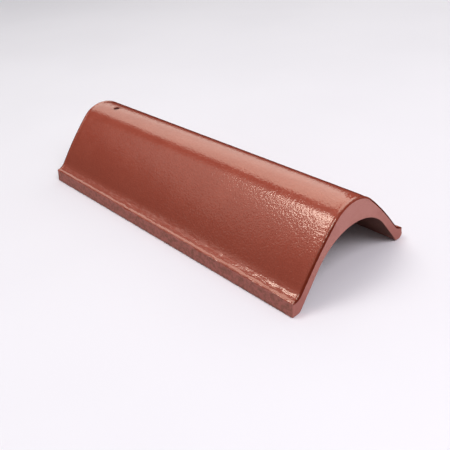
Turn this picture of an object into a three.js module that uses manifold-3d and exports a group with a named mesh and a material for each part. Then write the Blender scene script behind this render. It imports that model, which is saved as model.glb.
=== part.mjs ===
// Glazed verge tile: a clay tile with a steep arched section and a lip along each long edge,
// glazed over its top, bare underneath, with one nail hole through the crown near one end.
// Millimetres, +X along the tile, +Z up, origin on the ground under the middle of the tile.

import * as THREE from 'three';
import { mergeVertices } from 'three/addons/utils/BufferGeometryUtils.js';
import Module from 'manifold-3d';

const { degToRad } = THREE.MathUtils;

// Whole tile; the crown's outside stands a little to the -Y side of the middle
const LENGTH = 446;
const WIDTH = 184.2;
const HEIGHT = 89.5;
const CROWN_SHIFT = 0.6;

// Outer face of the arch: a round crown, then a leg that steepens a little on its way down
const CROWN_RADIUS = 42.3;
const LEG_SLOPE_AT_CROWN = degToRad(43.6);
const LEG_SLOPE_AT_LIP = degToRad(51.3);
const LEG_RADIUS = 413;

// Underside of the arch: a wider round, then a straight leg down to the foot
const ARCH_TOP = 61.9;
const ARCH_RADIUS = 67.7;
const ARCH_LEG_SLOPE = degToRad(52.4);
const FOOT_INNER_RADIUS = 6.5;

// The two lips differ a little: the -Y one stands up as a ledge, the +Y one falls away
const LEDGE_LIP = {
  reach: WIDTH / 2 - CROWN_SHIFT,
  cornerHeight: 17,
  faceLean: degToRad(7),
  ledgeSlope: degToRad(8.5),
  hollowRadius: 8.5,
  cornerRadius: 1.4,
  footRadius: 1.6,
};
const SLOPING_LIP = {
  reach: WIDTH / 2 + CROWN_SHIFT,
  cornerHeight: 13.7,
  faceLean: degToRad(6),
  ledgeSlope: degToRad(22),
  hollowRadius: 15.5,
  cornerRadius: 1.7,
  footRadius: 6,
};

// Soft edge all round each end, and the nail hole
const END_EDGE_RADIUS = 1.2;
const HOLE_DIAMETER = 8;
const HOLE_FROM_END = 42;

// Steps on the round stretches
const CROWN_STEPS = 12;
const LEG_STEPS = 5;
const ARCH_STEPS = 12;
const CORNER_STEPS = 5;
const END_EDGE_STEPS = 3;
const HOLE_STEPS = 28;

// Points on an arc around a centre, with the angle measured from straight up towards +Y
function arcFromTop(centre, radius, startAngle, endAngle, steps) {
  const points = [];
  for (let i = 0; i <= steps; i += 1) {
    const angle = startAngle + ((endAngle - startAngle) * i) / steps;
    const reach = new THREE.Vector2(Math.sin(angle), Math.cos(angle)).multiplyScalar(radius);
    points.push(reach.add(centre));
  }
  return points;
}

// The corner between two straight runs, turned into an arc that touches both
function roundedCorner(before, corner, after, radius, steps) {
  const back = before.clone().sub(corner).normalize();
  const ahead = after.clone().sub(corner).normalize();
  const halfAngle = Math.acos(back.dot(ahead)) / 2;
  const middle = back.clone().add(ahead).normalize();
  const centre = corner.clone().addScaledVector(middle, radius / Math.sin(halfAngle));
  const start = corner.clone().addScaledVector(back, radius / Math.tan(halfAngle)).sub(centre);
  const end = corner.clone().addScaledVector(ahead, radius / Math.tan(halfAngle)).sub(centre);
  const turn = Math.atan2(start.cross(end), start.dot(end));
  const points = [];
  for (let i = 0; i <= steps; i += 1) {
    const spoke = start.clone().rotateAround(new THREE.Vector2(), (turn * i) / steps);
    points.push(spoke.add(centre));
  }
  return points;
}

// Where a line from one point along a direction meets a line through another point
function crossing(point, direction, otherPoint, otherDirection) {
  const gap = otherPoint.clone().sub(point);
  const distance = gap.cross(otherDirection) / direction.cross(otherDirection);
  return point.clone().addScaledVector(direction, distance);
}

// Point at a height on the lip's outer face, which leans in from a round foot
function onLipFace(lip, height) {
  const touchHeight = lip.footRadius * (1 + Math.sin(lip.faceLean));
  const touchReach = lip.reach - lip.footRadius * (1 - Math.cos(lip.faceLean));
  return new THREE.Vector2(touchReach - (height - touchHeight) * Math.tan(lip.faceLean), height);
}

// Unit vector that goes outwards and down at a slope
function downSlope(slope) {
  return new THREE.Vector2(Math.cos(slope), -Math.sin(slope));
}

// One half of the section, from the top of the crown out round the lip and foot,
// and back under the arch to its highest point; x is the way out from the crown, y is up
function halfSection(lip) {
  const crownCentre = new THREE.Vector2(0, HEIGHT - CROWN_RADIUS);
  const crown = arcFromTop(crownCentre, CROWN_RADIUS, 0, LEG_SLOPE_AT_CROWN, CROWN_STEPS);

  const legTop = crown.at(-1);
  const legNormal = new THREE.Vector2(Math.sin(LEG_SLOPE_AT_CROWN), Math.cos(LEG_SLOPE_AT_CROWN));
  const legCentre = legTop.clone().addScaledVector(legNormal, -LEG_RADIUS);
  const leg = arcFromTop(legCentre, LEG_RADIUS, LEG_SLOPE_AT_CROWN, LEG_SLOPE_AT_LIP, LEG_STEPS);

  const lipCorner = onLipFace(lip, lip.cornerHeight);
  const footCorner = onLipFace(lip, 0);
  const hollowCorner = crossing(leg.at(-1), downSlope(LEG_SLOPE_AT_LIP), lipCorner, downSlope(lip.ledgeSlope));

  const archCentre = new THREE.Vector2(lip.reach - WIDTH / 2, ARCH_TOP - ARCH_RADIUS);
  const arch = arcFromTop(archCentre, ARCH_RADIUS, ARCH_LEG_SLOPE, 0, ARCH_STEPS);
  const level = new THREE.Vector2(1, 0);
  const footInner = crossing(arch[0], downSlope(ARCH_LEG_SLOPE), footCorner, level);

  return [
    ...crown,
    ...leg.slice(1),
    ...roundedCorner(leg.at(-1), hollowCorner, lipCorner, lip.hollowRadius, CORNER_STEPS),
    ...roundedCorner(hollowCorner, lipCorner, footCorner, lip.cornerRadius, CORNER_STEPS),
    ...roundedCorner(lipCorner, footCorner, footInner, lip.footRadius, CORNER_STEPS),
    ...roundedCorner(footCorner, footInner, arch[0], FOOT_INNER_RADIUS, CORNER_STEPS),
    ...arch,
  ];
}

// The whole outline of the section, with the shared crown and arch points kept once
function tileSection() {
  const right = halfSection(SLOPING_LIP);
  const left = halfSection(LEDGE_LIP).map((point) => new THREE.Vector2(-point.x, point.y));
  return new THREE.Shape([...right, ...left.reverse().slice(1, -1)]);
}

// The section run along X, with soft edges round both ends
function tileBody() {
  const body = new THREE.ExtrudeGeometry(tileSection(), {
    depth: LENGTH - 2 * END_EDGE_RADIUS,
    bevelEnabled: true,
    bevelThickness: END_EDGE_RADIUS,
    bevelSize: END_EDGE_RADIUS,
    bevelOffset: -END_EDGE_RADIUS,
    bevelSegments: END_EDGE_STEPS,
  });
  body.translate(-CROWN_SHIFT, 0, END_EDGE_RADIUS - LENGTH / 2);
  const sectionToTile = new THREE.Matrix4().makeBasis(
    new THREE.Vector3(0, 1, 0),
    new THREE.Vector3(0, 0, 1),
    new THREE.Vector3(1, 0, 0),
  );
  return body.applyMatrix4(sectionToTile);
}

// A round bar that stands up through the crown where the nail goes
function nailHoleCutter() {
  const cutter = new THREE.CylinderGeometry(HOLE_DIAMETER / 2, HOLE_DIAMETER / 2, 2 * HEIGHT, HOLE_STEPS);
  cutter.rotateX(Math.PI / 2);
  return cutter.translate(HOLE_FROM_END - LENGTH / 2, -CROWN_SHIFT, HEIGHT);
}

const wasm = await Module();
wasm.setup();

// A closed geometry as a solid that can be cut
function toSolid(geometry) {
  const bare = geometry.clone();
  bare.deleteAttribute('normal');
  bare.deleteAttribute('uv');
  const merged = mergeVertices(bare, 1e-4);
  return new wasm.Manifold(new wasm.Mesh({
    numProp: 3,
    vertProperties: merged.attributes.position.array,
    triVerts: Uint32Array.from(merged.index.array),
  }));
}

// A solid as a geometry again
function toGeometry(solid) {
  const mesh = solid.getMesh();
  const geometry = new THREE.BufferGeometry();
  geometry.setAttribute('position', new THREE.BufferAttribute(Float32Array.from(mesh.vertProperties), 3));
  geometry.setIndex(new THREE.BufferAttribute(Uint32Array.from(mesh.triVerts), 1));
  geometry.computeVertexNormals();
  return geometry;
}

// Brick-red glazed clay
const glazedClay = new THREE.MeshStandardMaterial({ color: 0x94493b, roughness: 0.3, metalness: 0 });

const tile = new THREE.Mesh(toGeometry(toSolid(tileBody()).subtract(toSolid(nailHoleCutter()))), glazedClay);
tile.name = 'verge_tile';

const vergeTile = new THREE.Group();
vergeTile.add(tile);

export default vergeTile;
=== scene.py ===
"""Looks of the glazed verge tile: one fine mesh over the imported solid, glaze and bare clay, a pale
floor and soft studio light. Metres, +X along the tile, +Z up."""

from math import acos, atan2, cos, pi, radians, sin, tan

import bpy
import numpy as np
from mathutils import Matrix, Vector, noise


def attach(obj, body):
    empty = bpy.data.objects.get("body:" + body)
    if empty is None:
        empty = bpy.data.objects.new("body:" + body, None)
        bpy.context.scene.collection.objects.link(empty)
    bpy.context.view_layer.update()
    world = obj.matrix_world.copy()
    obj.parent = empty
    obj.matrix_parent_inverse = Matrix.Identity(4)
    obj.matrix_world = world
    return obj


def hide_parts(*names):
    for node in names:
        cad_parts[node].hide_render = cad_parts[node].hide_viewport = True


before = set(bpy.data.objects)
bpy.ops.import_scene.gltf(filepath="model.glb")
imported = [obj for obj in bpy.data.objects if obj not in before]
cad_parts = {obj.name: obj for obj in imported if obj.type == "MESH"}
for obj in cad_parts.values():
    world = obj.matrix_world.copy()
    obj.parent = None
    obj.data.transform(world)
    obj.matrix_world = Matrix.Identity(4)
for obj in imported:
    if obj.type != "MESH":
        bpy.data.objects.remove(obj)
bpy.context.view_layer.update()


# The section, as the solid has it
LENGTH = 0.446
WIDTH = 0.1842
HEIGHT = 0.0895
CROWN_SHIFT = 0.0006
CROWN_RADIUS = 0.0423
LEG_SLOPE_AT_CROWN = radians(43.6)
LEG_SLOPE_AT_LIP = radians(51.3)
LEG_RADIUS = 0.413
ARCH_TOP = 0.0619
ARCH_RADIUS = 0.0677
ARCH_LEG_SLOPE = radians(52.4)
FOOT_INNER_RADIUS = 0.0065
LEDGE_LIP = {
    "reach": WIDTH / 2 - CROWN_SHIFT,
    "corner_height": 0.017,
    "face_lean": radians(7),
    "ledge_slope": radians(8.5),
    "hollow_radius": 0.0085,
    "corner_radius": 0.0014,
    "foot_radius": 0.0016,
}
SLOPING_LIP = {
    "reach": WIDTH / 2 + CROWN_SHIFT,
    "corner_height": 0.0137,
    "face_lean": radians(6),
    "ledge_slope": radians(22),
    "hollow_radius": 0.0155,
    "corner_radius": 0.0017,
    "foot_radius": 0.006,
}
HOLE_RADIUS = 0.004
HOLE_X = 0.042 - LENGTH / 2

# The glaze makes the lip's top corner a little rounder than the clay under it
CORNER_GLAZE = 0.0008

# How fine the mesh is. The nail hole sits in a square window of even cells.
GLAZE_STEP = 0.0014
UNDER_STEP = 0.0042
ALONG_STEP = 0.0017
ROUND_STEP = 0.0006
WINDOW_HALF = 0.0077
WINDOW_CELLS = 10

# The nail hole's rings from the crown to the arch: radius as a share of the hole's, way down from the
# crown at 0 to the arch at 1, drop below that in metres, and coat of glaze
HOLE_RINGS = (
    (1.42, 0.0, 0.0, 1.0),
    (1.26, 0.0, -0.00003, 1.0),
    (1.13, 0.0, 0.00012, 1.0),
    (1.04, 0.0, 0.0005, 0.7),
    (1.0, 0.0, 0.0012, 0.2),
    (0.99, 0.25, 0.0, 0.0),
    (0.99, 0.5, 0.0, 0.0),
    (0.99, 0.75, 0.0, 0.0),
    (1.0, 1.0, -0.0006, 0.0),
    (1.12, 1.0, 0.0, 0.0),
)
OUTER_RING_SHARE = 1.5

# The soft edge round each end: how far it reaches in from the outline on each part of it, and how far
# it reaches along the tile on the lips' outer faces. The rings of full size keep out of its room.
BEAD_STEPS = 5
BEAD_ON_GLAZE = 0.0014
BEAD_ON_LEDGE = 0.0013
BEAD_AT_CORNER = 0.0011
BEAD_ON_FACE = 0.0018
BEAD_ON_CLAY = 0.0008
BEAD_SMOOTHING = 6
BEAD_ALONG_FACE = 0.0027
BEAD_ALONG_SMOOTHING = 4
BEAD_ROOM = 0.003

# The glaze that creeps on to the end face: each ring's reach past the soft edge, and its share of the
# end face's setback
END_FACE_SETBACK = 0.00016
END_FACE_CREEP = ((0.0004, 0.15), (0.0008, 1.0), (0.0014, 1.0))

# Where the glaze stops on each lip, past the middle of its top corner, with a slow and a fine wave
COVER_PAST_CORNER = 0.001
COVER_WAVE = 0.0011
COVER_FINE_WAVE = 0.0007
COVER_SOFTNESS = 0.0016

# Where the glaze stops on the end faces, in the count of add_end
END_COVER = 1.45
END_COVER_WAVE = 0.2
END_COVER_SOFTNESS = 0.35

# The band of painted dark shade and the raised rim of glaze at each end: a shallow trough runs along
# inside the rim
SHADE_BAND_START = 0.0024
SHADE_BAND_FULL = 0.0018
TROUGH_START = 0.012
TROUGH_BOTTOM = 0.0043
RIM_FROM_END = 0.0025
TROUGH_DEPTH = 0.0004
FINE_END = 0.0066
FINE_END_STEP = 0.0006

# How strong the painted shade on the glaze is, from 0 to 1: in the band on the crown, behind the
# lips, with its unevenness there, and round the nail hole. In the band on the legs it is 1.
SHADE_ON_CROWN = 0.45
SHADE_BEHIND_LIP = 0.2
SHADE_UNEVENNESS = 0.4
SHADE_ROUND_HOLE = 0.35
SHADE_LEAST_COAT = 0.02

# How softly each map of the surface runs out round the outline
LEG_SMOOTHING = 12
LIP_SMOOTHING = 8
UNDER_SMOOTHING = 3
UNDER_FADE_START = 1 / 3

# The dish that the glaze leaves along the top of each lip, behind a raised rim
DISH_FROM_CORNER = 0.0034
DISH_HALF_WIDTH = 0.0014
DISH_DEPTH = 0.0002
DISH_UNEVENNESS = 0.6
DISH_WANDER = 0.0007

# The other relief. The lumps on the lips come up to the surface where their noise is at the crest.
SLOW_WAVE_DEPTH = 0.00008
DIMPLE_DEPTH = 0.00005
FINE_DIMPLE_DEPTH = 0.000012
STREAK_DEPTH = 0.0001
LUMP_DEPTH = 0.0004
LUMP_CREST = 0.6
CLAY_GRAIN_DEPTH = 0.00004
ON_GROUND = 1e-6

# The glaze that fills the hollow of the ledge side a little, as the slope it adds at places measured
# from the lip's top corner back to the leg
SWELL_PLACES = (-0.0179, -0.0109, -0.0045, -0.0014)
SWELL_SLOPES = (0.0, 0.14, -0.2, 0.0)
SWELL_STEPS = 200

# The noise behind the shapes: features in a metre, a seed, and for some the scale along the tile as
# a share of that across it
COVER_NOISE = (55, 1)
COVER_FINE_NOISE = (240, 2)
END_COVER_NOISE = (140, 3)
SHADE_NOISE = (60, 4, 0.4)
SLOW_WAVE_NOISE = (16, 5, 0.6)
DIMPLE_NOISE = (260, 6)
FINE_DIMPLE_NOISE = (420, 7)
STREAK_NOISE = (420, 8, 0.12)
CLAY_GRAIN_NOISE = (330, 9)
LUMP_NOISE = (420, 10, 0.3)
DISH_NOISE = (45, 11)


def unit(vector):
    return vector / np.linalg.norm(vector)


def arc_from_top(centre, radius, start, end, step):
    """Points on an arc, with the angle measured from straight up towards the outside."""
    count = max(2, int(abs(end - start) * radius / step))
    angles = np.linspace(start, end, count + 1)
    return np.stack([centre[0] + radius * np.sin(angles), centre[1] + radius * np.cos(angles)], -1)


def rounded_corner(before, corner, after, radius, step):
    """The corner between two straight runs, turned into an arc that touches both."""
    back, ahead = unit(before - corner), unit(after - corner)
    half = acos(float(np.clip(back @ ahead, -1, 1))) / 2
    centre = corner + unit(back + ahead) * radius / sin(half)
    start = corner + back * radius / tan(half) - centre
    end = corner + ahead * radius / tan(half) - centre
    turn = atan2(start[0] * end[1] - start[1] * end[0], start @ end)
    count = max(4, int(abs(turn) * radius / step))
    points = []
    for k in range(count + 1):
        angle = turn * k / count
        across = start[0] * cos(angle) - start[1] * sin(angle)
        upward = start[0] * sin(angle) + start[1] * cos(angle)
        points.append(centre + [across, upward])
    return np.array(points)


def crossing(point, direction, other_point, other_direction):
    """Where a line from one point along a direction meets a line through another point."""
    gap = other_point - point
    cross = direction[0] * other_direction[1] - direction[1] * other_direction[0]
    distance = (gap[0] * other_direction[1] - gap[1] * other_direction[0]) / cross
    return point + direction * distance


def down_slope(slope):
    """Direction that runs outwards and down at a slope."""
    return np.array([cos(slope), -sin(slope)])


def on_lip_face(lip, height):
    """Point at a height on the lip's outer face, which leans in from a round foot."""
    touch_height = lip["foot_radius"] * (1 + sin(lip["face_lean"]))
    touch_reach = lip["reach"] - lip["foot_radius"] * (1 - cos(lip["face_lean"]))
    return np.array([touch_reach - (height - touch_height) * tan(lip["face_lean"]), height])


def straight(start, end, step):
    """Points strictly between two points."""
    count = max(1, round(float(np.linalg.norm(end - start)) / step))
    return np.linspace(start, end, count + 1)[1:-1]


def half_section(lip):
    """Half the section as (part, points) from the top of the crown round to the top of the arch."""
    crown_centre = np.array([0, HEIGHT - CROWN_RADIUS])
    arch_shift = lip["reach"] - WIDTH / 2
    arch_centre = np.array([arch_shift, ARCH_TOP - ARCH_RADIUS])

    # the nail hole sits in a window whose sides are the same on the crown and under the arch
    window = np.linspace(0, WINDOW_HALF, WINDOW_CELLS // 2 + 1)
    crown_window = np.stack([window, crown_centre[1] + np.sqrt(CROWN_RADIUS ** 2 - window ** 2)], -1)
    past_arch_centre = window - arch_shift
    arch_window_height = arch_centre[1] + np.sqrt(ARCH_RADIUS ** 2 - past_arch_centre ** 2)
    arch_window = np.stack([window, arch_window_height], -1)

    crown_start = atan2(WINDOW_HALF, crown_window[-1][1] - crown_centre[1])
    crown = arc_from_top(crown_centre, CROWN_RADIUS, crown_start, LEG_SLOPE_AT_CROWN, GLAZE_STEP)
    normal = np.array([sin(LEG_SLOPE_AT_CROWN), cos(LEG_SLOPE_AT_CROWN)])
    leg_centre = crown[-1] - normal * LEG_RADIUS
    leg = arc_from_top(leg_centre, LEG_RADIUS, LEG_SLOPE_AT_CROWN, LEG_SLOPE_AT_LIP, GLAZE_STEP)
    lip_corner = on_lip_face(lip, lip["corner_height"])
    foot_corner = on_lip_face(lip, 0)
    leg_direction = down_slope(LEG_SLOPE_AT_LIP)
    hollow_corner = crossing(leg[-1], leg_direction, lip_corner, down_slope(lip["ledge_slope"]))
    arch_end = atan2(WINDOW_HALF - arch_shift, arch_window[-1][1] - arch_centre[1])
    arch = arc_from_top(arch_centre, ARCH_RADIUS, ARCH_LEG_SLOPE, arch_end, UNDER_STEP)
    foot_inner = crossing(arch[0], down_slope(ARCH_LEG_SLOPE), foot_corner, down_slope(0))

    hollow = rounded_corner(leg[-1], hollow_corner, lip_corner, lip["hollow_radius"], ROUND_STEP)
    corner_radius = lip["corner_radius"] + CORNER_GLAZE
    corner = rounded_corner(hollow_corner, lip_corner, foot_corner, corner_radius, ROUND_STEP / 2)
    foot = rounded_corner(lip_corner, foot_corner, foot_inner, lip["foot_radius"], ROUND_STEP)
    inner_foot = rounded_corner(foot_corner, foot_inner, arch[0], FOOT_INNER_RADIUS, ROUND_STEP * 2)
    return [
        ("crown", crown_window),
        ("crown", crown[1:]),
        ("leg", leg[1:]),
        ("leg", straight(leg[-1], hollow[0], GLAZE_STEP)),
        ("hollow", hollow),
        ("ledge", straight(hollow[-1], corner[0], ROUND_STEP)),
        ("corner", corner),
        ("face", straight(corner[-1], foot[0], GLAZE_STEP)),
        ("foot", foot),
        ("sole", straight(foot[-1], inner_foot[0], GLAZE_STEP)),
        ("inner_foot", inner_foot),
        ("under", straight(inner_foot[-1], arch[0], UNDER_STEP)),
        ("under", arch[:-1]),
        ("under", arch_window[::-1]),
    ]


def whole_section():
    """The closed outline from the crown's top round +Y and back round -Y: points, part names and
    sides. The halves share the tops of the crown and the arch."""
    halves = []
    for lip, side in ((SLOPING_LIP, 1), (LEDGE_LIP, -1)):
        points, names = [], []
        for name, run in half_section(lip):
            for point in run:
                points.append((side * point[0] - CROWN_SHIFT, point[1]))
                names.append(name)
        halves.append((points, names, [side] * len(points)))
    return [np.array(going + coming[::-1][1:-1]) for going, coming in zip(*halves)]


outline, part_of, side_of = whole_section()
ring_size = len(outline)

# Outward normals of the outline, which runs clockwise seen from +X
around = np.roll(outline, -1, axis=0) - np.roll(outline, 1, axis=0)
outline_normal = np.stack([-around[:, 1], around[:, 0]], -1)
outline_normal /= np.linalg.norm(outline_normal, axis=1)[:, None]


def on_parts(*names):
    """Which points of the outline belong to the named parts."""
    return np.isin(part_of, names)


def spread(values, passes):
    """A list round the outline, smoothed."""
    for _ in range(passes):
        values = (np.roll(values, 1) + values * 2 + np.roll(values, -1)) / 4
    return values


# How far each point's soft edge reaches in at the ends
bead = np.full(ring_size, BEAD_ON_CLAY)
bead[on_parts("crown", "leg")] = BEAD_ON_GLAZE
bead[on_parts("hollow", "ledge")] = BEAD_ON_LEDGE
bead[on_parts("corner")] = BEAD_AT_CORNER
bead[on_parts("face")] = BEAD_ON_FACE
bead = spread(bead, BEAD_SMOOTHING)
for name, most in (("corner", BEAD_AT_CORNER), ("foot", BEAD_ON_CLAY)):
    bead[on_parts(name)] = np.minimum(bead[on_parts(name)], most)

# How far the soft edge reaches along the tile, which is further on the lips' outer faces
bead_along = bead.copy()
bead_along[on_parts("face", "foot")] = BEAD_ALONG_FACE
bead_along = spread(bead_along, BEAD_ALONG_SMOOTHING)

# Distance round the outline past the middle of the lip's top corner, negative on the glazed side
past_corner = np.zeros(ring_size)
for side in (1, -1):
    indices = np.where(side_of == side)[0]
    if side == -1:
        indices = indices[::-1]
    run = np.concatenate([[0], np.cumsum(np.linalg.norm(np.diff(outline[indices], axis=0), axis=1))])
    corner_run = run[part_of[indices] == "corner"]
    past_corner[indices] = run - (corner_run[0] + corner_run[-1]) / 2


def even_places(start, end, step=ALONG_STEP):
    """Even places along the tile, both ends included."""
    count = max(1, round((end - start) / step))
    return np.linspace(start, end, count + 1)


# Where the full rings are along the tile; the window for the nail hole falls on rings of its own
window_x = np.linspace(HOLE_X - WINDOW_HALF, HOLE_X + WINDOW_HALF, WINDOW_CELLS + 1)
flat_end = LENGTH / 2 - BEAD_ROOM
fine_start = LENGTH / 2 - FINE_END
ring_x = np.concatenate([
    even_places(-flat_end, -fine_start, FINE_END_STEP)[:-1],
    even_places(-fine_start, window_x[0])[:-1],
    window_x,
    even_places(window_x[-1], fine_start)[1:],
    even_places(fine_start, flat_end, FINE_END_STEP)[1:],
])

ring_places = []
ring_on_end = []


def add_ring(x, inset, on_end):
    """One ring of points; x and inset may be one number or one for each point of the outline."""
    place = outline - outline_normal * np.broadcast_to(inset, ring_size)[:, None]
    ring_places.append(np.column_stack([np.broadcast_to(x, ring_size), place]))
    ring_on_end.append(np.full(ring_size, on_end))


def add_end(sign):
    """The rings from the last full one in to the end face. on_end runs from 0 at the start of the
    rounded edge to 1 at its end, and on to 2 at the innermost ring."""
    rings = []
    for k in range(BEAD_STEPS + 1):
        angle = pi / 2 * k / BEAD_STEPS
        edge_x = LENGTH / 2 - bead_along * (1 - sin(angle))
        rings.append((edge_x, bead * (1 - cos(angle)), k / BEAD_STEPS))
    glazed = np.minimum(bead / BEAD_ON_GLAZE, 1)
    for k, (creep, setback) in enumerate(END_FACE_CREEP):
        setback_x = LENGTH / 2 - END_FACE_SETBACK * setback
        rings.append((setback_x, bead + creep * glazed ** 2, 1 + (k + 1) / len(END_FACE_CREEP)))
    for x, inset, on_end in rings if sign > 0 else rings[::-1]:
        add_ring(sign * x, inset, on_end)


add_end(-1)
for x in ring_x:
    add_ring(x, 0.0, 0.0)
add_end(1)
ring_count = len(ring_places)
places = np.concatenate(ring_places)
on_end = np.concatenate(ring_on_end)
section_index = np.tile(np.arange(ring_size), ring_count)

# Faces between the rings, but for the window round the nail hole on the crown and under the arch
end_ring_count = BEAD_STEPS + 1 + len(END_FACE_CREEP)
first_window_ring = end_ring_count + int(np.argmin(np.abs(ring_x - window_x[0])))
last_window_ring = first_window_ring + WINDOW_CELLS
half_cells = WINDOW_CELLS // 2
arch_top_index = int(np.where(side_of == 1)[0][-1])
crown_columns = [i % ring_size for i in range(-half_cells, half_cells)]
arch_columns = list(range(arch_top_index - half_cells, arch_top_index + half_cells))
open_columns = set(crown_columns + arch_columns)

faces = []
for ring in range(ring_count - 1):
    here = ring * ring_size
    ahead = here + ring_size
    for i in range(ring_size):
        if first_window_ring <= ring < last_window_ring and i in open_columns:
            continue
        j = (i + 1) % ring_size
        faces.append((here + i, ahead + i, ahead + j, here + j))


def window_loop(columns):
    """The corners of a window's edge in order: along one side, across, back and across."""
    low, high = first_window_ring, last_window_ring
    across = columns + [(columns[-1] + 1) % ring_size]
    loop = [(ring, across[0]) for ring in range(low, high)]
    loop += [(high, i) for i in across[:-1]]
    loop += [(ring, across[-1]) for ring in range(high, low, -1)]
    loop += [(low, i) for i in across[:0:-1]]
    return [ring * ring_size + i for ring, i in loop]


def crown_z(y):
    """Height of the crown at a place across the tile."""
    return HEIGHT - CROWN_RADIUS + np.sqrt(CROWN_RADIUS ** 2 - (y + CROWN_SHIFT) ** 2)


def arch_z(y):
    """Height of the arch at a place across the tile."""
    return ARCH_TOP - ARCH_RADIUS + np.sqrt(ARCH_RADIUS ** 2 - y ** 2)


crown_loop = window_loop(crown_columns)
arch_loop = window_loop(arch_columns)
hole_centre = np.array([HOLE_X, -CROWN_SHIFT])
spokes = places[crown_loop][:, :2] - hole_centre
directions = spokes / np.linalg.norm(spokes, axis=1)[:, None]
half_way_out = (directions * HOLE_RADIUS * OUTER_RING_SHARE + spokes) / 2
hole_ring_places = []
hole_ring_coat = []


def add_hole_ring(from_centre, way_down, drop, coat_there):
    """A ring of new points round the nail hole, at flat places measured from its centre. It lies on
    the crown at way_down 0, under the arch at 1 or between them, lowered by drop."""
    flat = hole_centre + from_centre
    z = crown_z(flat[:, 1]) * (1 - way_down) + arch_z(flat[:, 1]) * way_down - drop
    start = len(places) + sum(len(ring) for ring in hole_ring_places)
    hole_ring_places.append(np.column_stack([flat, z]))
    hole_ring_coat.append(np.full(len(flat), coat_there))
    return list(range(start, start + len(flat)))


def join_loops(outer, inner):
    """Faces between two loops with as many points."""
    count = len(outer)
    for k in range(count):
        following = (k + 1) % count
        faces.append((outer[k], outer[following], inner[following], inner[k]))


# From the crown's window in to the rim, down the wall and out under the arch
hole_rings = [crown_loop, add_hole_ring(half_way_out, 0.0, 0.0, 1.0)]
for radius_share, way_down, drop, coat_there in HOLE_RINGS:
    hole_rings.append(add_hole_ring(directions * HOLE_RADIUS * radius_share, way_down, drop, coat_there))
hole_rings.append(add_hole_ring(half_way_out, 1.0, 0.0, 0.0))
for outer, inner in zip(hole_rings[:-1], hole_rings[1:]):
    join_loops(outer, inner)

# Under the arch the loop runs the other way round across, so it is matched by its angle
arch_spokes = places[arch_loop][:, :2] - hole_centre
arch_angles = np.arctan2(arch_spokes[:, 1], arch_spokes[:, 0])
matched = []
for x, y in half_way_out:
    gaps = np.abs(np.angle(np.exp(1j * (arch_angles - atan2(y, x)))))
    matched.append(arch_loop[int(np.argmin(gaps))])
join_loops(hole_rings[-1], matched)

# The two end faces
first_ring = list(range(ring_size))
last_ring = list(range((ring_count - 1) * ring_size, ring_count * ring_size))
faces.append(tuple(first_ring))
faces.append(tuple(last_ring[::-1]))

hole_places = np.concatenate(hole_ring_places)
hole_coat = np.concatenate(hole_ring_coat)
none_in_hole = np.zeros(len(hole_places))
all_places = np.concatenate([places, hole_places])


def noise_at(where, scale, seed, along=1.0):
    """Smooth noise from -1 to 1 at each place; features are about 1 / scale metres wide."""
    offset = Vector((seed * 17.3, seed * 5.1, seed * 9.7))
    values = np.empty(len(where))
    for i, (x, y, z) in enumerate(where.tolist()):
        values[i] = noise.noise(Vector((x * scale * along, y * scale, z * scale)) + offset)
    return values


def soft_map(names, passes):
    """1 on the named parts and 0 elsewhere, smoothed, for every point of the rings."""
    return spread(on_parts(*names).astype(float), passes)[section_index]


def lip_line(across, upward):
    """A straight line of places for each lip, so that noise on it varies only along the tile."""
    return np.column_stack([places[:, 0], side_there * across, side_there * upward])


# Glaze: 1 where the clay is coated, 0 where it is bare, with a wavering edge along each lip
past_there = past_corner[section_index]
side_there = side_of[section_index]
cover = COVER_PAST_CORNER + COVER_WAVE * noise_at(lip_line(0.3, 0.1), *COVER_NOISE)
cover += COVER_FINE_WAVE * noise_at(lip_line(0.2, 0.4), *COVER_FINE_NOISE)
coat = np.clip(0.5 + (cover - past_there) / COVER_SOFTNESS, 0, 1)
coat[on_parts("foot", "sole", "inner_foot", "under")[section_index]] = 0
end_cover = END_COVER + END_COVER_WAVE * noise_at(places, *END_COVER_NOISE)
coat *= np.clip(0.5 + (end_cover - on_end) / END_COVER_SOFTNESS, 0, 1)

# Painted shade on the glaze: a dark band inside each end, and a little behind each lip
on_leg = soft_map(("leg", "hollow", "ledge"), LEG_SMOOTHING)
on_lip = soft_map(("hollow", "ledge", "corner"), LIP_SMOOTHING)
end_distance = LENGTH / 2 - np.abs(places[:, 0])
end_shade_band = np.clip((SHADE_BAND_START - end_distance) / (SHADE_BAND_START - SHADE_BAND_FULL), 0, 1)
painted_shade = end_shade_band * (SHADE_ON_CROWN + (1 - SHADE_ON_CROWN) * on_leg) * (coat > SHADE_LEAST_COAT)
uneven = 1 - SHADE_UNEVENNESS + SHADE_UNEVENNESS * noise_at(places, *SHADE_NOISE)
painted_shade = np.clip(painted_shade + SHADE_BEHIND_LIP * on_lip * uneven, 0, 1)

# The maps of the whole surface, the nail hole included
all_coat = np.concatenate([coat, hole_coat])
# The nail hole's glazed rim gets painted shade
all_painted_shade = np.concatenate([painted_shade, np.where(hole_coat > 0.5, SHADE_ROUND_HOLE, 0.0)])
all_end = np.concatenate([np.clip(on_end, 0, 1), none_in_hole])
# The underside and the nail hole's wall get painted shade
all_shade_under = np.concatenate([soft_map(("under",), UNDER_SMOOTHING), 1 - hole_coat])
all_shade_under *= 1 - np.clip((all_end - UNDER_FADE_START) / (1 - UNDER_FADE_START), 0, 1)
all_lip = np.concatenate([on_lip, none_in_hole])

tile_mesh = bpy.data.meshes.new("tile")
tile_mesh.from_pydata(all_places.tolist(), [], faces)
tile_mesh.update(calc_edges=True)
tile = bpy.data.objects.new("tile", tile_mesh)
bpy.context.scene.collection.objects.link(tile)
normals = np.empty(len(all_places) * 3)
tile_mesh.vertices.foreach_get("normal", normals)
normals = normals.reshape(-1, 3)

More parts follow.
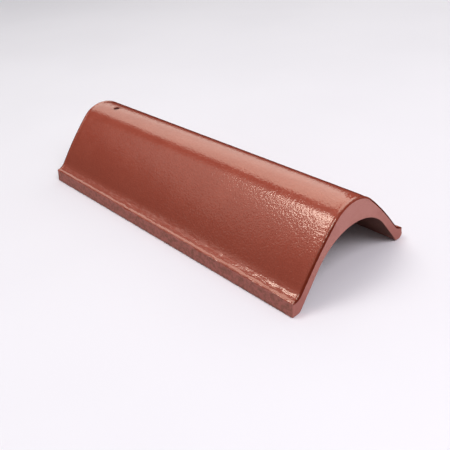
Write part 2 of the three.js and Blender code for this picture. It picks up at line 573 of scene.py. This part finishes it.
# The trough inside the raised rim at each end
from_end = LENGTH / 2 - np.abs(all_places[:, 0])
into_trough = np.clip((TROUGH_START - from_end) / (TROUGH_START - TROUGH_BOTTOM), 0, 1)
out_of_trough = np.clip((from_end - RIM_FROM_END) / (TROUGH_BOTTOM - RIM_FROM_END), 0, 1)
trough = into_trough * out_of_trough ** 2 * (3 - 2 * out_of_trough)

# The dish along each lip, which wanders from side to side
lumps = noise_at(all_places, *LUMP_NOISE)
dish_line = all_places * [1, 0, 0] + [0, 0.3, 0]
dish_middle = DISH_FROM_CORNER - DISH_WANDER * noise_at(dish_line, *DISH_NOISE)
from_middle = np.concatenate([-past_there, none_in_hole]) - dish_middle
dish = DISH_DEPTH * (1 + DISH_UNEVENNESS * lumps) * np.exp(-((from_middle / DISH_HALF_WIDTH) ** 2))

# Relief that only goes inwards, so that the tile keeps its box: slow waves of the extruded clay, the
# trough, the glaze's dimpled skin, the streaky, lumpy and dished top of each lip, and a coarser skin
# on the bare clay
waves = SLOW_WAVE_DEPTH * (noise_at(all_places, *SLOW_WAVE_NOISE) - 1)
dimples = DIMPLE_DEPTH * (noise_at(all_places, *DIMPLE_NOISE) - 1)
dimples += FINE_DIMPLE_DEPTH * (noise_at(all_places, *FINE_DIMPLE_NOISE) - 1)
lip_top = STREAK_DEPTH * (noise_at(all_places, *STREAK_NOISE) - 1) + LUMP_DEPTH * (lumps - LUMP_CREST)
clay_grain = CLAY_GRAIN_DEPTH * (noise_at(all_places, *CLAY_GRAIN_NOISE) - 1)
glaze_relief = dimples + all_lip * (lip_top - dish) - TROUGH_DEPTH * trough
relief = np.minimum(waves + all_coat * glaze_relief + (1 - all_coat) * clay_grain, 0)

# The fill in the hollow of the ledge side, which goes outwards and fades out at the ends
swell_run = np.linspace(SWELL_PLACES[0], SWELL_PLACES[-1], SWELL_STEPS)
swell_slope = np.interp(swell_run, SWELL_PLACES, SWELL_SLOPES)
swell_height = np.cumsum(swell_slope) * (swell_run[1] - swell_run[0])
swell = np.interp(past_there, swell_run, swell_height, left=0, right=0)
swell *= (side_there == -1) * np.clip(1 - on_end, 0, 1)
relief += np.concatenate([swell, none_in_hole])

# The feet's soles and the end faces stay flat
relief[np.abs(all_places[:, 2]) < ON_GROUND] = 0
relief[np.concatenate([on_end >= 1, none_in_hole > 0])] = 0
all_places = all_places + normals * relief[:, None]
all_places[:, 2] = np.maximum(all_places[:, 2], 0)
tile_mesh.vertices.foreach_set("co", all_places.ravel())

# Maps for the shader. Two carry painted shade, on the glaze and under the arch, and the lip map also
# carries a painted sheen.
surface_maps = {"coat": all_coat, "painted_shade": all_painted_shade, "end": all_end, "under": all_shade_under, "lip": all_lip}
for name, values in surface_maps.items():
    attribute = tile_mesh.attributes.new(name, "FLOAT", "POINT")
    attribute.data.foreach_set("value", values.astype(np.float32))
tile_mesh.polygons.foreach_set("use_smooth", [True] * len(tile_mesh.polygons))
tile_mesh.update()


class Nodes:
    """Short calls for building one material's nodes."""

    def __init__(self, name):
        self.material = bpy.data.materials.new(name)
        self.material.use_nodes = True
        self.tree = self.material.node_tree
        self.tree.nodes.clear()
        self.place = self.add("ShaderNodeTexCoord").outputs["Object"]

    def add(self, kind, **settings):
        node = self.tree.nodes.new(kind)
        for key, value in settings.items():
            setattr(node, key, value)
        return node

    def link(self, source, socket):
        """Sets a socket to a plain value, or links it to another node's output."""
        if isinstance(source, (int, float, tuple)):
            socket.default_value = source
        else:
            self.tree.links.new(source, socket)

    def attribute(self, name):
        return self.add("ShaderNodeAttribute", attribute_name=name).outputs["Fac"]

    def height(self):
        node = self.add("ShaderNodeSeparateXYZ")
        self.link(self.place, node.inputs["Vector"])
        return node.outputs["Z"]

    def stretched(self, factors):
        node = self.add("ShaderNodeMapping")
        self.link(self.place, node.inputs["Vector"])
        node.inputs["Scale"].default_value = factors
        return node.outputs["Vector"]

    def noise(self, scale, detail=2.0, roughness=0.5, where=None):
        node = self.add("ShaderNodeTexNoise")
        self.link(where or self.place, node.inputs["Vector"])
        node.inputs["Scale"].default_value = scale
        node.inputs["Detail"].default_value = detail
        node.inputs["Roughness"].default_value = roughness
        return node.outputs["Fac"]

    def math(self, operation, first, second):
        node = self.add("ShaderNodeMath", operation=operation)
        for source, socket in zip((first, second), node.inputs):
            self.link(source, socket)
        return node.outputs["Value"]

    def plus(self, first, second):
        return self.math("ADD", first, second)

    def minus(self, first, second):
        return self.math("SUBTRACT", first, second)

    def times(self, first, second):
        return self.math("MULTIPLY", first, second)

    def ramp(self, value, low, high, out_low=0.0, out_high=1.0):
        """A smooth rise between two limits."""
        node = self.add("ShaderNodeMapRange", clamp=True, interpolation_type="SMOOTHSTEP")
        for source, socket in zip((value, low, high, out_low, out_high), node.inputs):
            self.link(source, socket)
        return node.outputs["Result"]

    def mix(self, share, first, second):
        node = self.add("ShaderNodeMixRGB")
        self.link(share, node.inputs["Fac"])
        self.link(first, node.inputs["Color1"])
        self.link(second, node.inputs["Color2"])
        return node.outputs["Color"]

    def bump(self, height, strength, distance, normal=None):
        node = self.add("ShaderNodeBump")
        node.inputs["Strength"].default_value = strength
        node.inputs["Distance"].default_value = distance
        self.link(height, node.inputs["Height"])
        if normal is not None:
            self.link(normal, node.inputs["Normal"])
        return node.outputs["Normal"]

    def material_with(self, shader):
        output = self.add("ShaderNodeOutputMaterial")
        self.link(shader.outputs["BSDF"], output.inputs["Surface"])
        return self.material


GLAZE_MID = (0.35, 0.073, 0.045, 1)
GLAZE_LIGHT = (0.38, 0.085, 0.053, 1)
GLAZE_DARK = (0.28, 0.054, 0.032, 1)
# Painted shade: the glaze is deeper red low on the legs
GLAZE_SHADED_LOW = (0.245, 0.055, 0.034, 1)
# Painted sheen: paler pink glaze behind the lips
GLAZE_PAINTED_SHEEN = (0.47, 0.13, 0.09, 1)
# Painted shade: dark red glaze in a band at each end, behind the lips and round the nail hole
GLAZE_PAINTED_SHADE = (0.13, 0.018, 0.008, 1)
GLOSS_TINT = (1.0, 0.82, 0.7, 1)
CLAY_FACE = (0.5, 0.21, 0.175, 1)
CLAY_PALE = (0.6, 0.28, 0.24, 1)
# Real stains on the clay, also used as painted shade low on the end faces
CLAY_STAIN_AND_SHADE = (0.39, 0.12, 0.098, 1)
CLAY_BROWN = (0.19, 0.07, 0.045, 1)
# Painted shade: dark clay under the arch and down the nail hole's wall
CLAY_SHADED_UNDER = (0.11, 0.045, 0.035, 1)

# How much of a colour there is where it is fullest
MOTTLE_SHARE = 0.4
LOW_GLAZE_SHADE_SHARE = 0.8
PAINTED_SHEEN_SHARE = 0.55
PAINTED_SHADE_SHARE = 0.95
PALE_GRAIN_SHARE = 0.35
STAINED_PATCH_SHARE = 0.3
LOW_CLAY_SHADE_SHARE = 0.6
BROWN_SPOT_SHARE = 0.85
LIGHT_GRAIN_SHARE = 0.2

# Heights over which the painted shade low on the tile fades out
LOW_GLAZE_SHADE_HEIGHTS = (0.02, 0.08)
LOW_CLAY_SHADE_HEIGHTS = (0.0, 0.07)

# The gloss, and the skins that the shader draws on the mesh
GLAZE_ROUGHNESS = (0.08, 0.12)
GLAZE_IOR = 1.5
CLAY_ROUGHNESS = 0.8
FINE_SKIN_SHARE = 0.3
SKIN_BUMP = 0.00018
STREAK_BUMP = 0.00018
STREAK_STRETCH = (0.4, 1, 1)
CLAY_BUMP = 0.00035
GLAZE_EDGE_BUMP = 0.00012
GLAZE_EDGE_RAGGEDNESS = 0.5


def glaze_colour(nodes):
    """Brick red in soft clouds with a fine mottle, with painted shade low on the legs, a painted sheen
    behind the lips, and painted dark shade in a band at each end, behind the lips and round the nail
    hole."""
    clouds = nodes.ramp(nodes.noise(scale=22, detail=3, roughness=0.55), low=0.35, high=0.68)
    mottle = nodes.ramp(nodes.noise(scale=330, detail=4, roughness=0.6), low=0.3, high=0.72)
    # painted shade, deeper low on the legs
    low_shade = nodes.ramp(nodes.height(), *LOW_GLAZE_SHADE_HEIGHTS, out_low=LOW_GLAZE_SHADE_SHARE, out_high=0.0)
    # painted sheen behind the lips
    painted_sheen = nodes.times(nodes.attribute("lip"), PAINTED_SHEEN_SHARE)
    # painted shade at the ends, behind the lips and round the nail hole
    shade_amount = nodes.times(nodes.attribute("painted_shade"), PAINTED_SHADE_SHARE)
    colour = nodes.mix(clouds, GLAZE_MID, GLAZE_LIGHT)
    colour = nodes.mix(nodes.times(mottle, MOTTLE_SHARE), colour, GLAZE_DARK)
    colour = nodes.mix(low_shade, colour, GLAZE_SHADED_LOW)
    colour = nodes.mix(painted_sheen, colour, GLAZE_PAINTED_SHEEN)
    return nodes.mix(shade_amount, colour, GLAZE_PAINTED_SHADE)


def clay_colour(nodes):
    """Bare clay: grained on the end faces and darker low down as painted shade, stained brown on the
    lips' outer faces, and darkened under the arch and down the nail hole's wall as painted shade."""
    grain = nodes.ramp(nodes.noise(scale=900, detail=5, roughness=0.7), low=0.3, high=0.75)
    patches = nodes.ramp(nodes.noise(scale=60, detail=4, roughness=0.6), low=0.35, high=0.7)
    spots = nodes.ramp(nodes.noise(scale=260, detail=4, roughness=0.65), low=0.38, high=0.66)
    # painted shade, darker low on the end faces
    low_shade = nodes.ramp(nodes.height(), *LOW_CLAY_SHADE_HEIGHTS, out_low=LOW_CLAY_SHADE_SHARE, out_high=0.0)
    light_grain = nodes.times(grain, LIGHT_GRAIN_SHARE)
    end_face = nodes.mix(nodes.times(grain, PALE_GRAIN_SHARE), CLAY_FACE, CLAY_PALE)
    end_face = nodes.mix(nodes.times(patches, STAINED_PATCH_SHARE), end_face, CLAY_STAIN_AND_SHADE)
    end_face = nodes.mix(low_shade, end_face, CLAY_STAIN_AND_SHADE)
    lip_face = nodes.mix(nodes.times(spots, BROWN_SPOT_SHARE), CLAY_STAIN_AND_SHADE, CLAY_BROWN)
    lip_face = nodes.mix(light_grain, lip_face, CLAY_FACE)
    # painted shade: the underside and the nail hole's wall are darkened
    arch = nodes.mix(light_grain, CLAY_SHADED_UNDER, CLAY_STAIN_AND_SHADE)
    outside = nodes.mix(nodes.attribute("end"), lip_face, end_face)
    return nodes.mix(nodes.attribute("under"), outside, arch)


def surface_normal(nodes, glazed):
    """The dimpled skin of the glaze, the streaks on the lips, the rough clay, and the step at the
    glaze's edge."""
    fine_skin = nodes.times(nodes.noise(scale=900, detail=1), FINE_SKIN_SHARE)
    skin = nodes.times(nodes.plus(nodes.noise(scale=520, detail=1), fine_skin), glazed)
    drawn_out = nodes.noise(scale=420, detail=1, where=nodes.stretched(STREAK_STRETCH))
    streaks = nodes.times(drawn_out, nodes.times(nodes.attribute("lip"), glazed))
    rough = nodes.times(nodes.noise(scale=1500, detail=5, roughness=0.7), nodes.minus(1.0, glazed))
    normal = nodes.bump(skin, strength=1.0, distance=SKIN_BUMP)
    normal = nodes.bump(streaks, strength=1.0, distance=STREAK_BUMP, normal=normal)
    normal = nodes.bump(rough, strength=0.6, distance=CLAY_BUMP, normal=normal)
    return nodes.bump(glazed, strength=0.5, distance=GLAZE_EDGE_BUMP, normal=normal)


def glazed_clay():
    """Brick-red glaze over clay, bare where the coat attribute runs out along a ragged edge."""
    nodes = Nodes("glazed_clay")
    fine_noise = nodes.minus(nodes.noise(scale=700, detail=3), 0.5)
    raggedness = nodes.times(fine_noise, GLAZE_EDGE_RAGGEDNESS)
    glazed = nodes.ramp(nodes.plus(nodes.attribute("coat"), raggedness), low=0.4, high=0.62)
    smooth, dull = GLAZE_ROUGHNESS
    gloss = nodes.ramp(nodes.noise(scale=45, detail=2), low=0.3, high=0.7, out_low=smooth, out_high=dull)
    roughness = nodes.ramp(glazed, low=0.0, high=1.0, out_low=CLAY_ROUGHNESS, out_high=gloss)

    shader = nodes.add("ShaderNodeBsdfPrincipled")
    nodes.link(nodes.mix(glazed, clay_colour(nodes), glaze_colour(nodes)), shader.inputs["Base Color"])
    nodes.link(roughness, shader.inputs["Roughness"])
    nodes.link(surface_normal(nodes, glazed), shader.inputs["Normal"])
    shader.inputs["IOR"].default_value = GLAZE_IOR
    shader.inputs["Specular Tint"].default_value = GLOSS_TINT
    return nodes.material_with(shader)


tile_mesh.materials.append(glazed_clay())
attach(tile, "root")
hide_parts("verge_tile")

FLOOR_REACH = 12.0
FLOOR_DROP = 0.0001
FLOOR_DARK = (0.86, 0.85, 0.87, 1)
FLOOR_LIGHT = (0.88, 0.87, 0.89, 1)
FLOOR_ROUGHNESS = 0.9
FLOOR_GLOSS = 0.1
WORLD_COLOUR = (0.97, 0.95, 1.0, 1)
WORLD_STRENGTH = 0.38


def pale_floor():
    """Nearly white and matt, with very faint clouds."""
    nodes = Nodes("pale_floor")
    shade = nodes.ramp(nodes.noise(scale=3, detail=2), low=0.3, high=0.7)
    shader = nodes.add("ShaderNodeBsdfPrincipled")
    nodes.link(nodes.mix(shade, FLOOR_DARK, FLOOR_LIGHT), shader.inputs["Base Color"])
    shader.inputs["Roughness"].default_value = FLOOR_ROUGHNESS
    shader.inputs["Specular IOR Level"].default_value = FLOOR_GLOSS
    return nodes.material_with(shader)


# The floor and the world light the matt faces and don't show in the gloss
floor_mesh = bpy.data.meshes.new("floor")
floor_corners = [(x * FLOOR_REACH, y * FLOOR_REACH, 0) for x, y in ((-1, -1), (1, -1), (1, 1), (-1, 1))]
floor_mesh.from_pydata(floor_corners, [], [(0, 1, 2, 3)])
floor_mesh.materials.append(pale_floor())
floor = bpy.data.objects.new("floor", floor_mesh)
floor.location = (0, 0, -FLOOR_DROP)
floor.visible_glossy = False
bpy.context.scene.collection.objects.link(floor)

world = bpy.data.worlds.new("studio")
world.use_nodes = True
background = world.node_tree.nodes["Background"]
background.inputs["Color"].default_value = WORLD_COLOUR
background.inputs["Strength"].default_value = WORLD_STRENGTH
bpy.context.scene.world = world
world.cycles_visibility.glossy = False

WHITE = (1.0, 1.0, 0.97)
WARM = (1.0, 0.93, 0.84)
LILAC = (0.97, 0.92, 1.0)


def soft_light(name, centre, target, size, radiance, in_gloss=True, colour=WHITE):
    """A studio light of a given width and height, with a given brightness of its face. It shows in
    the gloss, or else lights the matt faces."""
    width, height = size
    data = bpy.data.lights.new(name, "AREA")
    data.shape = "RECTANGLE"
    data.size = width
    data.size_y = height
    data.color = colour
    data.energy = radiance * pi * width * height
    light = bpy.data.objects.new(name, data)
    light.location = centre
    aim = Vector(target) - Vector(centre)
    light.rotation_euler = aim.to_track_quat("-Z", "Y").to_euler()
    light.visible_glossy = in_gloss
    light.visible_diffuse = not in_gloss
    bpy.context.scene.collection.objects.link(light)


# A tall wall of light beyond the far end, in strips from low to high that grow brighter
WALL_X = -1.5
WALL_WIDTH = 2.7
WALL_STRIPS = ((0.45, 1.1, 1.95), (1.1, 2.0, 3.1), (2.0, 4.2, 4.3))
for low, high, radiance in WALL_STRIPS:
    middle = (WALL_X, WALL_WIDTH / 2, (low + high) / 2)
    soft_light("wall_strip", middle, (0, *middle[1:]), (WALL_WIDTH, high - low), radiance, colour=WARM)

# A strong light above the far corner of the ledge side with a halo round it, and below it a glow
# that fades outwards
STRONG_PLACE = (-0.966, -1.176, 1.94)
STRONG_TARGET = (0.1, 0, 0.05)
soft_light("strong_light", STRONG_PLACE, STRONG_TARGET, size=(0.6, 0.6), radiance=14.0)
soft_light("halo_light", STRONG_PLACE, STRONG_TARGET, size=(1.3, 1.3), radiance=0.7)
GLOW_PLACE = (-1.52, -1.146, 1.542)
GLOW_TARGET = (0.05, 0, 0.05)
GLOW_SIZES = (0.35, 0.5, 0.65, 0.85, 1.0)
for size in GLOW_SIZES:
    soft_light("glow_light", GLOW_PLACE, GLOW_TARGET, size=(size, size), radiance=1.0)

# A faint light from beyond the crown, for the gloss on its far side
SIDE_PLACE = (0.7, 1.9, 1.2)
soft_light("side_light", SIDE_PLACE, (0, 0, 0), size=(1.2, 1.2), radiance=0.7)

# The matt light: a key high above the far end, a cooler fill from beyond the near end, and a back
# light for the crown's far side
KEY_PLACE = (-0.71, -0.6, 2.25)
FILL_PLACE = (1.4, -0.1, 1.85)
FILL_TARGET = (0.2, 0, 0)
BACK_PLACE = (-0.2, 2.0, 1.5)
soft_light("key_light", KEY_PLACE, (0, 0, 0), size=(1.1, 1.1), radiance=5.4, in_gloss=False)
soft_light(
    "fill_light", FILL_PLACE, FILL_TARGET, size=(1.1, 1.1), radiance=6.4, in_gloss=False, colour=LILAC,
)
soft_light("back_light", BACK_PLACE, (0, 0, 0), size=(1.5, 1.5), radiance=1.3, in_gloss=False)

# The camera, as fitted to the photo's outline: its place, its turns and its focal length
CAMERA_PLACE = (0.51303, -0.41020, 0.38226)
CAMERA_AZIMUTH = radians(49.788)
CAMERA_ELEVATION = radians(32.283)
CAMERA_ROLL = radians(-5.365)
FOCAL_PIXELS = 592.791
PHOTO_PIXELS = 450
SENSOR_MILLIMETRES = 36

back = Vector((
    sin(CAMERA_AZIMUTH) * cos(CAMERA_ELEVATION),
    -cos(CAMERA_AZIMUTH) * cos(CAMERA_ELEVATION),
    sin(CAMERA_ELEVATION),
))
level = Vector((cos(CAMERA_AZIMUTH), sin(CAMERA_AZIMUTH), 0))
upright = back.cross(level)
right_axis = cos(CAMERA_ROLL) * level + sin(CAMERA_ROLL) * upright
up_axis = -sin(CAMERA_ROLL) * level + cos(CAMERA_ROLL) * upright
camera_data = bpy.data.cameras.new("camera")
camera_data.sensor_width = SENSOR_MILLIMETRES
camera_data.lens = SENSOR_MILLIMETRES * FOCAL_PIXELS / PHOTO_PIXELS
camera = bpy.data.objects.new("camera", camera_data)
turn = Matrix((right_axis, up_axis, back)).transposed().to_4x4()
camera.matrix_world = Matrix.Translation(CAMERA_PLACE) @ turn
bpy.context.scene.collection.objects.link(camera)
bpy.context.scene.camera = camera
bpy.context.scene.view_settings.view_transform = "Standard"
